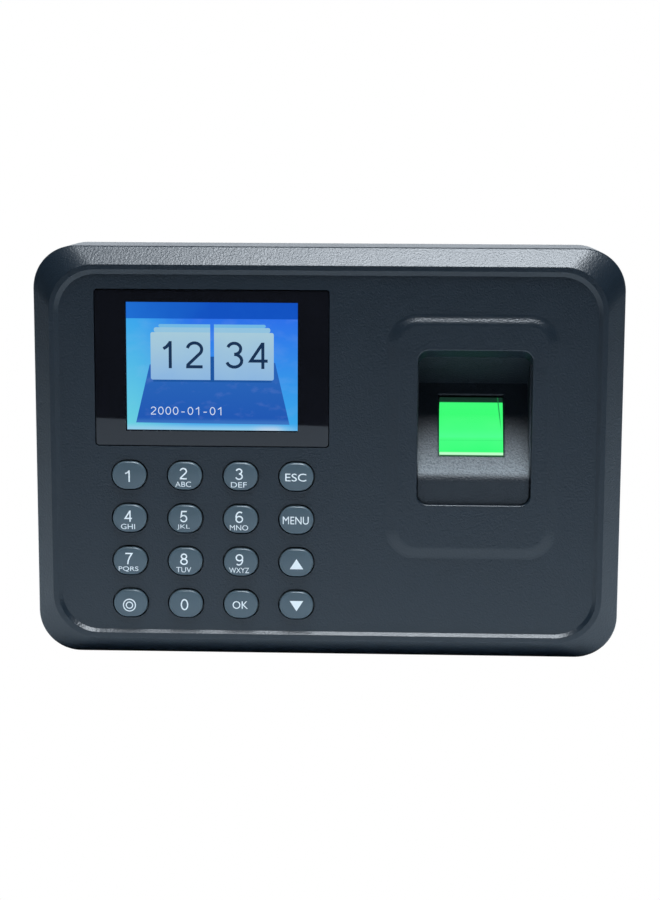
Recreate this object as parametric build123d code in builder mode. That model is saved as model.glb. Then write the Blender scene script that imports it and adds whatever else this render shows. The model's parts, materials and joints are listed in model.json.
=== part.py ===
"""Wall-mounted fingerprint terminal with a colour display, sixteen keys and an inclined finger sensor.

Millimetres. +Z is up, +X is to the right of someone who faces the terminal, and the front looks along -Y.
The origin is the centre of the back face, which lies against the wall, so a height above the wall is -Y.
"""

import os
from math import cos, radians, sin

from build123d import *

# Outline and shell
WIDTH = 167.8
TALL = 118.0
CORNER = 12.0
WALL = 2.0
RIM_HEIGHT = 29.5
RIM_RAISE = 0.25
FACE_HEIGHT = 28.5
PLATE_BACK = 26.0
EDGE_HEIGHT = 24.3
EDGE_ROUND = 1.0
SEAM_FRONT = 23.3
SEAM_BACK = 23.0
BACK_DRAFT = 0.1
BACK_EDGE = 1.2
LIP_THICK = 1.0
LIP_RISE = 0.9
LIP_BELOW = 3.0
SLOPE = 5.2
CREST_CORNER = 12.8
CREST_EDGE = 0.35
LEDGE = 1.4
LEDGE_CORNER = 11.7
LEDGE_EDGE = 0.15
BEVEL = 1.1
FACE_CORNER = 10.8
HOLLOW_CORNER = 10.0
SHOULDER_THICKEN = 0.6

# Display window and display
LENS_CENTRE = (-32.7, 24.75)
LENS_SIZE = (66.6, 44.7)
LENS_CORNER = 1.0
LENS_THICK = 1.0
LENS_SUNK = 0.3
LENS_EDGE = 0.2
TAPE_THICK = 0.2
FIT_GAP = 0.1
DISPLAY_CENTRE = (-32.8, 25.1)
DISPLAY_FRAME = (60.3, 42.7)
DISPLAY_OPENING = (54.0, 40.5)
DISPLAY_VIEW = (51.0, 38.4)
DISPLAY_DEEP = 2.4
DISPLAY_SHEET = 0.25
PANEL_THICK = 0.95
RIBBON_WIDTH = 22.0
RIBBON_THICK = 0.2

# Keys
KEY_SIZE = (9.75, 7.95)
KEY_GAP = 0.45
KEY_FLANGE = (12.4, 10.5)
KEY_FLANGE_TOP = 25.7
KEY_FLANGE_BACK = 25.0
KEY_CROWN = 30.0
KEY_CROWN_RADIUS = 30.0
KEY_EDGE = 0.5
KEY_STEM_RADIUS = 2.6
KEY_STEM_BACK = 24.1
KEY_FIRST = (-56.4, -6.0)
KEY_PITCH = (15.94, 12.46)
KEY_NAMES = (
    ("key_1", "key_2", "key_3", "key_escape"),
    ("key_4", "key_5", "key_6", "key_menu"),
    ("key_7", "key_8", "key_9", "key_up"),
    ("key_power", "key_0", "key_ok", "key_down"),
)
MAT_FRONT = 24.0
MAT_HOLE_RADIUS = 3.3
MAT_MARGIN = 5.8

# Finger window, its raised surround and the guide inside it
SURROUND_FOOT = (48.0, 69.0)
SURROUND_FOOT_CENTRE = (41.2, 5.5)
SURROUND_TOP = (42.0, 64.4)
SURROUND_TOP_CENTRE = (41.3, 5.9)
SURROUND_CORNER = 8.0
SURROUND_CORNER_TOP = 5.4
SURROUND_BLEND = 2.5
WINDOW_CENTRE = (41.8, 8.48)
WINDOW_SIZE = (32.2, 44.25)
WINDOW_CORNER = 3.0
WINDOW_TOP_DROP = 2.3
WINDOW_EDGE = 0.4
GUIDE_X = 41.7
GUIDE_WALL = 1.6
GUIDE_SHOULDER = 25.8
GUIDE_INNER = 31.6
GUIDE_PAD = (31.5, 20.0)
GUIDE_PAD_BOTTOM = -13.55
GUIDE_PAD_HEIGHT = 28.2
GUIDE_NOSE = 4.0
GUIDE_DEEPEST = 12.2
GUIDE_FLANGE = (44.0, 55.0)
GUIDE_FLANGE_THICK = 1.5
GUIDE_SCREW_SPACING = (39.6, 50.6)

# Sensor, built square to its inclined glass
TILT = 31.8
GLASS_CENTRE = (41.2, 19.4, 7.65)
GLASS_SIZE = 18.2
GLASS_EDGE = 1.2
GLASS_DEEP = 6.0
GLASS_BACK = 10.0
GLASS_OPENING = (18.6, 19.2)
GLASS_OPENING_RISE = 0.3
GLASS_OPENING_EDGE = 0.35
PRISM_GAP = 0.2
HOUSING_SIZE = (23.0, 20.6)
HOUSING_FRONT = -1.7
HOUSING_FLOOR = -6.2
HOUSING_BACK = -11.5
BARREL_RADIUS = 3.0
SENSOR_BOARD_BACK = -12.7
SENSOR_SCREW = (10.4, 8.0)

# Main board and what it carries
BOARD_EDGES = (-69.0, 17.0)
BOARD_TALL = 102.0
BOARD_FRONT = 22.9
BOARD_BACK = 21.3
BOARD_POSTS = ((-65.5, 48.0), (13.5, 48.0), (-65.5, -48.0), (13.5, -48.0))
POST_RADIUS = 2.5
SMALL_SCREW = 0.9
SMALL_HEAD = 1.9
CELL_CENTRE = (-30.0, 28.0)
CELL_RADIUS = 10.0
CELL_THICK = 3.2
CABLE_RADIUS = 1.0

# Case screws and their wells
CASE_POST = (73.0, 48.0)
CASE_WELL_RADIUS = 3.2
CASE_WELL_DEPTH = 8.0
CASE_POST_RADIUS = 4.6
CASE_POST_TOP = 15.0
CASE_SCREW = 1.45
CASE_HEAD = 2.9
SCREW_GAP = 0.05
SLIP_GAP = 0.25

# Back cover features
FLOOR = 2.0
KEYHOLE_SPACING = 100.0
KEYHOLE_Z = 18.0
KEYHOLE_RADIUS = 4.2
KEYHOLE_NECK = 2.1
KEYHOLE_RISE = 8.0
LABEL_SIZE = (56.0, 30.0)
LABEL_CENTRE = (20.0, -30.0)
LABEL_POCKET = 0.4
LABEL_THICK = 0.15
SPEAKER_CENTRE = (-46.0, -24.0)
SPEAKER_RADIUS = 14.0
SPEAKER_SLOT = 1.6
SPEAKER_SLOT_PITCH = 3.2

# Sockets in the bottom wall
USB_X = -12.0
USB_SIZE = (13.1, 5.7)
USB_MOUTH = -58.3
USB_LENGTH = 14.0
USB_SHEET = 0.3
JACK_X = 5.0
JACK_SIZE = (9.0, 10.0)
JACK_MOUTH = -56.5
JACK_LENGTH = 13.0
JACK_BORE = 3.0
JACK_PIN = 1.0


def front(height):
    """The plane parallel to the wall at this height above it, seen from the front."""
    return Plane.XZ.offset(height)


def glass(height):
    """The plane parallel to the sensor glass at this height above it."""
    x, out, z = GLASS_CENTRE
    tilt = radians(TILT)
    return Plane(origin=(x, -out, z), x_dir=(1, 0, 0), z_dir=(0, -cos(tilt), sin(tilt))).offset(height)


def slab(centre, size, low, high, corner=0.0, mode=Mode.ADD, base=front):
    """A block between two heights, with an optional corner radius."""
    with BuildSketch(base(low)) as profile:
        with Locations(centre):
            if corner:
                RectangleRounded(*size, corner)
            else:
                Rectangle(*size)
    extrude(profile.sketch, amount=high - low, mode=mode)


def rod(centre, radius, low, high, mode=Mode.ADD, base=front):
    """A round post, pin or hole between two heights."""
    with BuildSketch(base(low)) as profile:
        with Locations(centre):
            Circle(radius)
    extrude(profile.sketch, amount=high - low, mode=mode)


def oval(centre, size, low, high, mode=Mode.ADD):
    """A slot shape between two heights above the wall."""
    with BuildSketch(front(low)) as profile:
        with Locations(centre):
            SlotOverall(*size)
    extrude(profile.sketch, amount=high - low, mode=mode)


def sloped(foot, top, mode=Mode.ADD):
    """A block between two rounded outlines, each given as height, centre, size and corner radius."""
    sections = []
    for height, centre, size, corner in (foot, top):
        with BuildSketch(front(height)) as profile:
            with Locations(centre):
                RectangleRounded(*size, corner)
        sections.append(profile.sketch)
    loft(sections, ruled=True, mode=mode)


def bottom_socket(x, height, size=None, radius=None):
    """An opening through the bottom wall, rectangular or round, at this height above the back."""
    with BuildSketch(Plane.XY.offset(-TALL / 2 - 1)) as profile:
        with Locations((x, -height)):
            if size:
                Rectangle(*size)
            else:
                Circle(radius)
    extrude(profile.sketch, amount=WALL + 2, mode=Mode.SUBTRACT)


def screw(centre, radius, head_radius, head_thick, seat, tip, base=front):
    """A cross-head screw whose head bears at the seat and whose thread points to the tip."""
    rod(centre, head_radius, seat - head_thick, seat, base=base)
    rod(centre, radius, seat, tip, base=base)
    slot = (head_radius * 1.25, head_radius * 0.32)
    for size in (slot, slot[::-1]):
        slab(centre, size, seat - head_thick, seat - head_thick * 0.45, mode=Mode.SUBTRACT, base=base)


def inset(size, distance):
    """The size of an outline moved in by a distance on every side."""
    return (size[0] - 2 * distance, size[1] - 2 * distance)


def around(centre, spacing):
    """The four corners of a rectangle of this spacing about a centre."""
    with Locations(centre):
        with GridLocations(*spacing, 2, 2) as grid:
            return [(place.position.X, place.position.Y) for place in grid.locations]


def edges_at(piece, height):
    """The flat edges of a piece that lie at this height above the wall."""
    return piece.edges().filter_by(
        lambda edge: edge.bounding_box().size.Y < 0.01 and abs(edge.center().Y + height) < 0.01
    )


def within(edge, centre, size, margin=0.5):
    """Whether an edge's middle lies in a rectangle, seen from the front."""
    middle_point = edge.center()
    across = abs(middle_point.X - centre[0])
    up = abs(middle_point.Z - centre[1])
    return across < size[0] / 2 + margin and up < size[1] / 2 + margin


def finish(piece, name):
    """Name a finished piece and write it."""
    piece.part.label = name
    export_step(piece.part, f"parts/{name}.step")


os.makedirs("parts", exist_ok=True)

middle = (0, 0)
case_outline = (WIDTH, TALL)
case_posts = around(middle, (2 * CASE_POST[0], 2 * CASE_POST[1]))
guide_screws_at = around(WINDOW_CENTRE, GUIDE_SCREW_SPACING)
key_centres = {
    name: (KEY_FIRST[0] + column * KEY_PITCH[0], KEY_FIRST[1] - row * KEY_PITCH[1])
    for row, names in enumerate(KEY_NAMES)
    for column, name in enumerate(names)
}
keypad_centre = (KEY_FIRST[0] + 1.5 * KEY_PITCH[0], KEY_FIRST[1] - 1.5 * KEY_PITCH[1])
lens_back = FACE_HEIGHT - LENS_SUNK - LENS_THICK
lens_seat = lens_back - TAPE_THICK

# ---------------------------------------------------------------- front cover
rim_centre = (0, RIM_RAISE)
crest = inset(case_outline, SLOPE)
ledge_inner = inset(crest, LEDGE)
hollow = inset(case_outline, WALL)
slope_at_plate = SLOPE * (PLATE_BACK - EDGE_HEIGHT) / (RIM_HEIGHT - EDGE_HEIGHT)
hollow_top = inset(hollow, slope_at_plate + SHOULDER_THICKEN)

with BuildPart() as front_cover:
    slab(middle, case_outline, SEAM_FRONT, EDGE_HEIGHT, CORNER)
    sloped((EDGE_HEIGHT, middle, case_outline, CORNER), (RIM_HEIGHT, rim_centre, crest, CREST_CORNER))
    fillet(front_cover.edges().group_by(Axis.Y)[0], radius=CREST_EDGE)
    fillet(edges_at(front_cover, EDGE_HEIGHT), radius=EDGE_ROUND)
    sloped(
        (FACE_HEIGHT, middle, inset(ledge_inner, BEVEL), FACE_CORNER),
        (RIM_HEIGHT, rim_centre, ledge_inner, LEDGE_CORNER),
        Mode.SUBTRACT,
    )
    pocket_edges = front_cover.edges(Select.LAST)
    fillet(pocket_edges.filter_by(lambda edge: edge.center().Y < 0.01 - RIM_HEIGHT), radius=LEDGE_EDGE)
    # The hollow behind the face follows the slope outside
    slab(middle, hollow, SEAM_FRONT, EDGE_HEIGHT, CORNER - WALL, Mode.SUBTRACT)
    sloped(
        (EDGE_HEIGHT, middle, hollow, CORNER - WALL),
        (PLATE_BACK, middle, hollow_top, HOLLOW_CORNER),
        Mode.SUBTRACT,
    )
    # Raised surround of the finger window, blended into the face
    sloped(
        (FACE_HEIGHT, SURROUND_FOOT_CENTRE, SURROUND_FOOT, SURROUND_CORNER),
        (RIM_HEIGHT, SURROUND_TOP_CENTRE, SURROUND_TOP, SURROUND_CORNER_TOP),
    )
    surround_edges = [
        edge
        for height in (FACE_HEIGHT, RIM_HEIGHT)
        for edge in edges_at(front_cover, height)
        if within(edge, SURROUND_FOOT_CENTRE, SURROUND_FOOT)
    ]
    fillet(surround_edges, radius=SURROUND_BLEND)
    window_back = (WINDOW_SIZE[0], WINDOW_SIZE[1] - WINDOW_TOP_DROP)
    window_back_centre = (WINDOW_CENTRE[0], WINDOW_CENTRE[1] - WINDOW_TOP_DROP / 2)
    sloped(
        (PLATE_BACK, window_back_centre, window_back, WINDOW_CORNER),
        (RIM_HEIGHT, WINDOW_CENTRE, WINDOW_SIZE, WINDOW_CORNER),
        Mode.SUBTRACT,
    )
    window_edges = [
        edge for edge in edges_at(front_cover, RIM_HEIGHT) if within(edge, WINDOW_CENTRE, WINDOW_SIZE)
    ]
    fillet(window_edges, radius=WINDOW_EDGE)
    # Seat of the display window, with the display's opening in it
    slab(LENS_CENTRE, inset(LENS_SIZE, -FIT_GAP), lens_seat, FACE_HEIGHT, LENS_CORNER, Mode.SUBTRACT)
    slab(DISPLAY_CENTRE, DISPLAY_OPENING, PLATE_BACK, lens_seat, mode=Mode.SUBTRACT)
    for centre in key_centres.values():
        oval(centre, inset(KEY_SIZE, -KEY_GAP), PLATE_BACK, FACE_HEIGHT, Mode.SUBTRACT)
    # Posts for the case screws and the main board, and holes for the guide's screws
    for centre in case_posts:
        rod(centre, CASE_WELL_RADIUS, CASE_POST_TOP + SLIP_GAP, PLATE_BACK)
        rod(centre, CASE_SCREW + SCREW_GAP, CASE_POST_TOP + SLIP_GAP, EDGE_HEIGHT, Mode.SUBTRACT)
    for centre in BOARD_POSTS:
        rod(centre, POST_RADIUS, BOARD_FRONT, PLATE_BACK)
        rod(centre, SMALL_SCREW + SCREW_GAP, BOARD_FRONT, PLATE_BACK, Mode.SUBTRACT)
    for centre in guide_screws_at:
        rod(centre, SMALL_SCREW + SCREW_GAP, PLATE_BACK, PLATE_BACK + 1.8, Mode.SUBTRACT)
finish(front_cover, "front_cover")

# ---------------------------------------------------------------- back cover
lip_outline = inset(hollow, SLIP_GAP)
lip_corner = CORNER - WALL - SLIP_GAP
usb_height = BOARD_BACK - USB_SIZE[1] / 2
jack_height = BOARD_BACK - JACK_SIZE[1] / 2
wall_inside = WALL - TALL / 2
lip_back = SEAM_BACK - LIP_BELOW
lip_front = SEAM_BACK + LIP_RISE

with BuildPart() as back_cover:
    sloped(
        (0, middle, inset(case_outline, BACK_DRAFT), CORNER - BACK_DRAFT),
        (SEAM_BACK, middle, case_outline, CORNER),
    )
    fillet(back_cover.edges().group_by(Axis.Y)[-1], radius=BACK_EDGE)
    slab(middle, hollow, FLOOR, SEAM_BACK, CORNER - WALL, Mode.SUBTRACT)
    # Lip that locates the front cover, on a root that joins the wall
    slab(middle, inset(hollow, -WALL / 2), lip_back, SEAM_BACK, CORNER - WALL / 2)
    slab(middle, lip_outline, SEAM_BACK, lip_front, lip_corner)
    slab(middle, inset(lip_outline, LIP_THICK), lip_back, lip_front, lip_corner - LIP_THICK, Mode.SUBTRACT)
    # The lip stops on both sides of the sockets
    slab(
        ((USB_X + JACK_X) / 2, wall_inside + 2),
        (JACK_X - USB_X + USB_SIZE[0] + 2, 4),
        lip_back,
        lip_front,
        mode=Mode.SUBTRACT,
    )
    # Hollow posts that the case screws sink into
    for centre in case_posts:
        rod(centre, CASE_POST_RADIUS, FLOOR, CASE_POST_TOP)
        rod(centre, CASE_WELL_RADIUS, 0, CASE_WELL_DEPTH, Mode.SUBTRACT)
        rod(centre, CASE_SCREW + SLIP_GAP, CASE_WELL_DEPTH, CASE_POST_TOP, Mode.SUBTRACT)
    # Keyhole slots that hang the terminal on two wall screws
    for side in (-1, 1):
        x = side * KEYHOLE_SPACING / 2
        rod((x, KEYHOLE_Z), KEYHOLE_RADIUS, 0, FLOOR, Mode.SUBTRACT)
        neck_centre = (x, KEYHOLE_Z + KEYHOLE_RISE / 2)
        slab(neck_centre, (2 * KEYHOLE_NECK, KEYHOLE_RISE), 0, FLOOR, mode=Mode.SUBTRACT)
        rod((x, KEYHOLE_Z + KEYHOLE_RISE), KEYHOLE_NECK, 0, FLOOR, Mode.SUBTRACT)
    slab(LABEL_CENTRE, inset(LABEL_SIZE, -SLIP_GAP), 0, LABEL_POCKET, mode=Mode.SUBTRACT)
    # Loudspeaker slots and the ring that holds the loudspeaker
    speaker_x, speaker_z = SPEAKER_CENTRE
    reach = SPEAKER_RADIUS - 3
    for step in range(-3, 4):
        rise = step * SPEAKER_SLOT_PITCH
        half_length = (reach**2 - rise**2) ** 0.5
        oval((speaker_x, speaker_z + rise), (2 * half_length, SPEAKER_SLOT), 0, FLOOR, Mode.SUBTRACT)
    rod(SPEAKER_CENTRE, SPEAKER_RADIUS + 1.4, FLOOR, FLOOR + 3)
    rod(SPEAKER_CENTRE, SPEAKER_RADIUS + 0.2, FLOOR, FLOOR + 3, Mode.SUBTRACT)
    # Openings in the bottom wall: the USB opening reaches up to the seam
    usb_opening = (USB_SIZE[0] + 0.6, USB_SIZE[1] + 2 * SLIP_GAP)
    bottom_socket(USB_X, usb_height, size=usb_opening)
    bottom_socket(USB_X, SEAM_BACK, size=(usb_opening[0], 3))
    bottom_socket(JACK_X, jack_height, radius=JACK_BORE + 1)
finish(back_cover, "back_cover")

# ---------------------------------------------------------------- display
display_back = PLATE_BACK - DISPLAY_DEEP
inside_frame = inset(DISPLAY_FRAME, DISPLAY_SHEET + FIT_GAP)
panel_front = PLATE_BACK - DISPLAY_SHEET - 0.03
panel_back = panel_front - PANEL_THICK

with BuildPart() as display_lens:
    slab(LENS_CENTRE, LENS_SIZE, lens_back, lens_back + LENS_THICK, LENS_CORNER)
    chamfer(display_lens.edges().group_by(Axis.Y)[0], length=LENS_EDGE)
finish(display_lens, "display_lens")

with BuildPart() as lens_tape:
    slab(LENS_CENTRE, inset(LENS_SIZE, 0.5), lens_seat, lens_back)
    slab(DISPLAY_CENTRE, inset(DISPLAY_OPENING, -0.5), lens_seat, lens_back, mode=Mode.SUBTRACT)
finish(lens_tape, "lens_tape")

with BuildPart() as display_frame:
    slab(DISPLAY_CENTRE, DISPLAY_FRAME, display_back, PLATE_BACK, 0.8)
    slab(
        DISPLAY_CENTRE,
        inset(DISPLAY_FRAME, DISPLAY_SHEET),
        display_back,
        PLATE_BACK - DISPLAY_SHEET,
        0.5,
        Mode.SUBTRACT,
    )
    slab(DISPLAY_CENTRE, DISPLAY_VIEW, display_back, PLATE_BACK, mode=Mode.SUBTRACT)
finish(display_frame, "display_frame")

with BuildPart() as display_panel:
    slab(DISPLAY_CENTRE, inside_frame, panel_back, panel_front, 0.4)
finish(display_panel, "display_panel")

with BuildPart() as display_backlight:
    slab(DISPLAY_CENTRE, inside_frame, display_back + 0.05, panel_back - 0.05, 0.4)
finish(display_backlight, "display_backlight")

ribbon_start = DISPLAY_CENTRE[0] + DISPLAY_FRAME[0] / 2 + 0.05
socket_left = 4.0
with BuildPart() as display_ribbon:
    with BuildSketch(Plane.XY.offset(DISPLAY_CENTRE[1] - RIBBON_WIDTH / 2)) as ribbon_edge:
        with BuildLine():
            FilletPolyline(
                (ribbon_start, -display_back - 0.6),
                (ribbon_start + 2.6, -display_back - 0.6),
                (ribbon_start + 4.6, -BOARD_FRONT - 0.5),
                (socket_left, -BOARD_FRONT - 0.5),
                radius=0.8,
            )
        trace(line_width=RIBBON_THICK)
    extrude(ribbon_edge.sketch, amount=RIBBON_WIDTH)
finish(display_ribbon, "display_ribbon")

with BuildPart() as display_socket:
    slab((socket_left + 2.2, DISPLAY_CENTRE[1]), (4.2, RIBBON_WIDTH + 3), BOARD_FRONT, BOARD_FRONT + 1.2)
    chamfer(display_socket.edges().group_by(Axis.Y)[0], length=0.25)
finish(display_socket, "display_socket")

# ---------------------------------------------------------------- keypad
for name, centre in key_centres.items():
    with BuildPart() as key:
        oval(centre, KEY_SIZE, KEY_FLANGE_TOP, KEY_CROWN + 0.5)
        with Locations((centre[0], KEY_CROWN_RADIUS - KEY_CROWN, centre[1])):
            Sphere(KEY_CROWN_RADIUS, mode=Mode.INTERSECT)
        fillet(key.edges().filter_by(lambda edge: edge.center().Y < -FACE_HEIGHT), radius=KEY_EDGE)
        oval(centre, KEY_FLANGE, KEY_FLANGE_BACK, KEY_FLANGE_TOP)
        rod(centre, KEY_STEM_RADIUS, KEY_STEM_BACK, KEY_FLANGE_BACK)
    finish(key, name)

with BuildPart() as keypad_mat:
    mat_size = (3 * KEY_PITCH[0] + 2 * MAT_MARGIN, 3 * KEY_PITCH[1] + 2 * MAT_MARGIN)
    slab(keypad_centre, mat_size, BOARD_FRONT, MAT_FRONT, 2.0)
    for centre in key_centres.values():
        rod(centre, MAT_HOLE_RADIUS, BOARD_FRONT, MAT_FRONT, Mode.SUBTRACT)
finish(keypad_mat, "keypad_mat")

# ---------------------------------------------------------------- finger guide
# Section of the finger space, as (height above the wall, z): the pad, the incline, the deepest line, the roof
tilt = radians(TILT)
glass_out, glass_z = GLASS_CENTRE[1:]
pad_z = glass_z - (GUIDE_PAD_HEIGHT - glass_out) * cos(tilt) / sin(tilt)
deepest_z = glass_z + (glass_out - GUIDE_DEEPEST) * cos(tilt) / sin(tilt)
window_top = WINDOW_CENTRE[1] + WINDOW_SIZE[1] / 2
roof_rise = (window_top - WINDOW_TOP_DROP - deepest_z) / (PLATE_BACK - GUIDE_DEEPEST)
open_height = RIM_HEIGHT + 4
finger_section = (
    (GUIDE_PAD_HEIGHT, GUIDE_PAD_BOTTOM - 3),
    (GUIDE_PAD_HEIGHT, pad_z),
    (GUIDE_DEEPEST, deepest_z),
    (open_height, deepest_z + roof_rise * (open_height - GUIDE_DEEPEST)),
    (open_height, GUIDE_PAD_BOTTOM - 3),
)
guide_side = Plane(origin=(GUIDE_X, 0, 0), x_dir=(0, -1, 0), z_dir=(-1, 0, 0))

with BuildSketch(guide_side) as finger_space:
    with BuildLine():
        Polyline(*finger_section, close=True)
    make_face()
    nose = finger_space.vertices().sort_by_distance(Vector(GUIDE_PAD_HEIGHT, pad_z))[0]
    fillet(nose, radius=GUIDE_NOSE)
with BuildSketch(guide_side) as guide_section:
    add(finger_space.sketch_local)
    offset(amount=GUIDE_WALL, kind=Kind.INTERSECTION)

# The pad below the glass rises into the window, clear of its edges
flange_back = GUIDE_SHOULDER - GUIDE_FLANGE_THICK
pad_centre = (GUIDE_X, GUIDE_PAD_BOTTOM + GUIDE_PAD[1] / 2)
with BuildPart() as guide_pad:
    slab(pad_centre, GUIDE_PAD, flange_back, GUIDE_PAD_HEIGHT, WINDOW_CORNER - 0.2)
    extrude(finger_space.sketch, amount=GUIDE_PAD[0], both=True, mode=Mode.SUBTRACT)

with BuildPart() as finger_guide:
    extrude(guide_section.sketch, amount=GUIDE_INNER / 2 + GUIDE_WALL, both=True)
    slab(WINDOW_CENTRE, (60, 120), GUIDE_SHOULDER, open_height + 4, mode=Mode.SUBTRACT)
    slab(WINDOW_CENTRE, GUIDE_FLANGE, flange_back, GUIDE_SHOULDER, 3.0)
    extrude(finger_space.sketch, amount=GUIDE_INNER / 2, both=True, mode=Mode.SUBTRACT)
    add(guide_pad.part)
    slab((0, GLASS_OPENING_RISE), GLASS_OPENING, -4, 4, mode=Mode.SUBTRACT, base=glass)
    opening_edges = finger_guide.edges(Select.LAST).filter_by(
        lambda edge: abs(glass(0).to_local_coords(edge.center()).Z) < 0.01
    )
    chamfer(opening_edges, length=GLASS_OPENING_EDGE)
    for centre in guide_screws_at:
        rod(centre, SMALL_SCREW + SLIP_GAP, flange_back, GUIDE_SHOULDER, Mode.SUBTRACT)
finish(finger_guide, "finger_guide")

with BuildPart() as guide_screws:
    for centre in guide_screws_at:
        screw(centre, SMALL_SCREW, SMALL_HEAD, 1.3, flange_back, PLATE_BACK + 1.5)
finish(guide_screws, "guide_screws")

# ---------------------------------------------------------------- sensor
half_glass = GLASS_SIZE / 2
half_back = GLASS_BACK / 2
prism_side = Plane(
    origin=glass(0).origin - Vector(half_glass, 0, 0), x_dir=(0, sin(tilt), cos(tilt)), z_dir=(1, 0, 0)
)
with BuildPart() as sensor_glass:
    with BuildSketch(prism_side):
        with BuildLine():
            Polyline(
                (-half_glass, 0),
                (half_glass, 0),
                (half_glass, -GLASS_EDGE),
                (half_back, -GLASS_DEEP),
                (-half_back, -GLASS_DEEP),
                (-half_glass, -GLASS_EDGE),
                close=True,
            )
        make_face()
    extrude(amount=GLASS_SIZE)
finish(sensor_glass, "sensor_glass")

with BuildPart() as sensor_housing:
    slab(middle, HOUSING_SIZE, HOUSING_BACK, HOUSING_FRONT, 1.0, base=glass)
    pocket = (GLASS_SIZE + 2 * PRISM_GAP, GLASS_SIZE + 2 * PRISM_GAP)
    slab(middle, pocket, HOUSING_FLOOR, HOUSING_FRONT, mode=Mode.SUBTRACT, base=glass)
    rod(middle, BARREL_RADIUS + FIT_GAP, HOUSING_BACK, HOUSING_FLOOR, Mode.SUBTRACT, base=glass)
    for side in (-1, 1):
        centre = (side * SENSOR_SCREW[0], side * SENSOR_SCREW[1])
        rod(centre, 0.75, HOUSING_BACK, HOUSING_BACK + 4, Mode.SUBTRACT, base=glass)
finish(sensor_housing, "sensor_housing")

with BuildPart() as sensor_barrel:
    rod(middle, BARREL_RADIUS, HOUSING_BACK + 1.8, HOUSING_FLOOR - 0.1, base=glass)
    rod(middle, BARREL_RADIUS - 1.2, HOUSING_BACK + 1.8, HOUSING_FLOOR - 0.1, Mode.SUBTRACT, base=glass)
finish(sensor_barrel, "sensor_barrel")

with BuildPart() as sensor_lens:
    rod(middle, BARREL_RADIUS - 1.25, HOUSING_FLOOR - 1.4, HOUSING_FLOOR - 0.4, base=glass)
    fillet(sensor_lens.edges().filter_by(GeomType.CIRCLE), radius=0.3)
finish(sensor_lens, "sensor_lens")

with BuildPart() as image_sensor:
    slab(middle, (4.0, 4.0), HOUSING_BACK, HOUSING_BACK + 0.9, base=glass)
finish(image_sensor, "image_sensor")

with BuildPart() as sensor_lamps:
    for side in (-1, 1):
        for x in (-5, 0, 5):
            slab((x, side * 7.9), (2.0, 1.2), HOUSING_FLOOR, HOUSING_FLOOR + 0.7, base=glass)
finish(sensor_lamps, "sensor_lamps")

with BuildPart() as sensor_board:
    slab(middle, HOUSING_SIZE, SENSOR_BOARD_BACK, HOUSING_BACK, 1.0, base=glass)
    for side in (-1, 1):
        centre = (side * SENSOR_SCREW[0], side * SENSOR_SCREW[1])
        rod(centre, 0.85, SENSOR_BOARD_BACK, HOUSING_BACK, Mode.SUBTRACT, base=glass)
finish(sensor_board, "sensor_board")

with BuildPart() as sensor_screws:
    for side in (-1, 1):
        centre = (side * SENSOR_SCREW[0], side * SENSOR_SCREW[1])
        screw(centre, 0.7, 1.3, 0.9, SENSOR_BOARD_BACK, HOUSING_BACK + 3.5, base=glass)
finish(sensor_screws, "sensor_screws")

# The sensor's lead runs from the plug on its board to the plug on the main board
plug_low = SENSOR_BOARD_BACK - 2.4
plug_centre = (-6.0, -4.0)
plug_size = (7.0, 4.0)
plug_middle = glass((plug_low + SENSOR_BOARD_BACK) / 2)
lead_start = plug_middle.from_local_coords((plug_centre[0] - plug_size[0] / 2, plug_centre[1], 0))
lead_end_x = 11.0
lead_end_out = BOARD_BACK - 2.2
with BuildPart() as sensor_plug:
    slab(plug_centre, plug_size, plug_low, SENSOR_BOARD_BACK, base=glass)
finish(sensor_plug, "sensor_plug")

with BuildPart() as board_plug:
    slab((lead_end_x - 3, lead_start.Z), (6.0, 8.0), BOARD_BACK - 4.2, BOARD_BACK)
finish(board_plug, "board_plug")

with BuildPart() as sensor_lead:
    with BuildLine() as lead_route:
        FilletPolyline(
            tuple(lead_start),
            (24.5, lead_start.Y, lead_start.Z),
            (18.5, -lead_end_out, lead_start.Z),
            (lead_end_x, -lead_end_out, lead_start.Z),
            radius=4.0,
        )
    with BuildSketch(Plane(origin=lead_start, z_dir=(-1, 0, 0))):
        Circle(CABLE_RADIUS)
    sweep(path=lead_route.line)
finish(sensor_lead, "sensor_lead")

# ---------------------------------------------------------------- main board
board_width = BOARD_EDGES[1] - BOARD_EDGES[0]
board_centre = ((BOARD_EDGES[0] + BOARD_EDGES[1]) / 2, 0)
with BuildPart() as main_board:
    slab(board_centre, (board_width, BOARD_TALL), BOARD_BACK, BOARD_FRONT, 1.5)
    for centre in BOARD_POSTS:
        rod(centre, SMALL_SCREW + SLIP_GAP, BOARD_BACK, BOARD_FRONT, Mode.SUBTRACT)
finish(main_board, "main_board")

with BuildPart() as board_screws:
    for centre in BOARD_POSTS:
        screw(centre, SMALL_SCREW, SMALL_HEAD, 1.4, BOARD_BACK, PLATE_BACK - 0.4)
finish(board_screws, "board_screws")

with BuildPart() as processor:
    slab((-22.0, -8.0), (14.0, 14.0), BOARD_BACK - 1.4, BOARD_BACK)
    chamfer(processor.edges().group_by(Axis.Y)[-1], length=0.3)
finish(processor, "processor")

with BuildPart() as memory_chips:
    for z in (-4.0, -14.0):
        slab((-40.0, z), (6.2, 5.0), BOARD_BACK - 1.6, BOARD_BACK)
finish(memory_chips, "memory_chips")

with BuildPart() as crystal:
    oval((-22.0, -21.0), (11.0, 4.6), BOARD_BACK - 3.5, BOARD_BACK)
    fillet(crystal.edges().group_by(Axis.Y)[-1], radius=0.6)
finish(crystal, "crystal")

with BuildPart() as capacitors:
    for x in (-4.0, 4.0, 12.0):
        rod((x, -28.0), 3.1, BOARD_BACK - 7.5, BOARD_BACK)
    fillet(capacitors.edges().group_by(Axis.Y)[-1], radius=0.4)
finish(capacitors, "capacitors")

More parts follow.
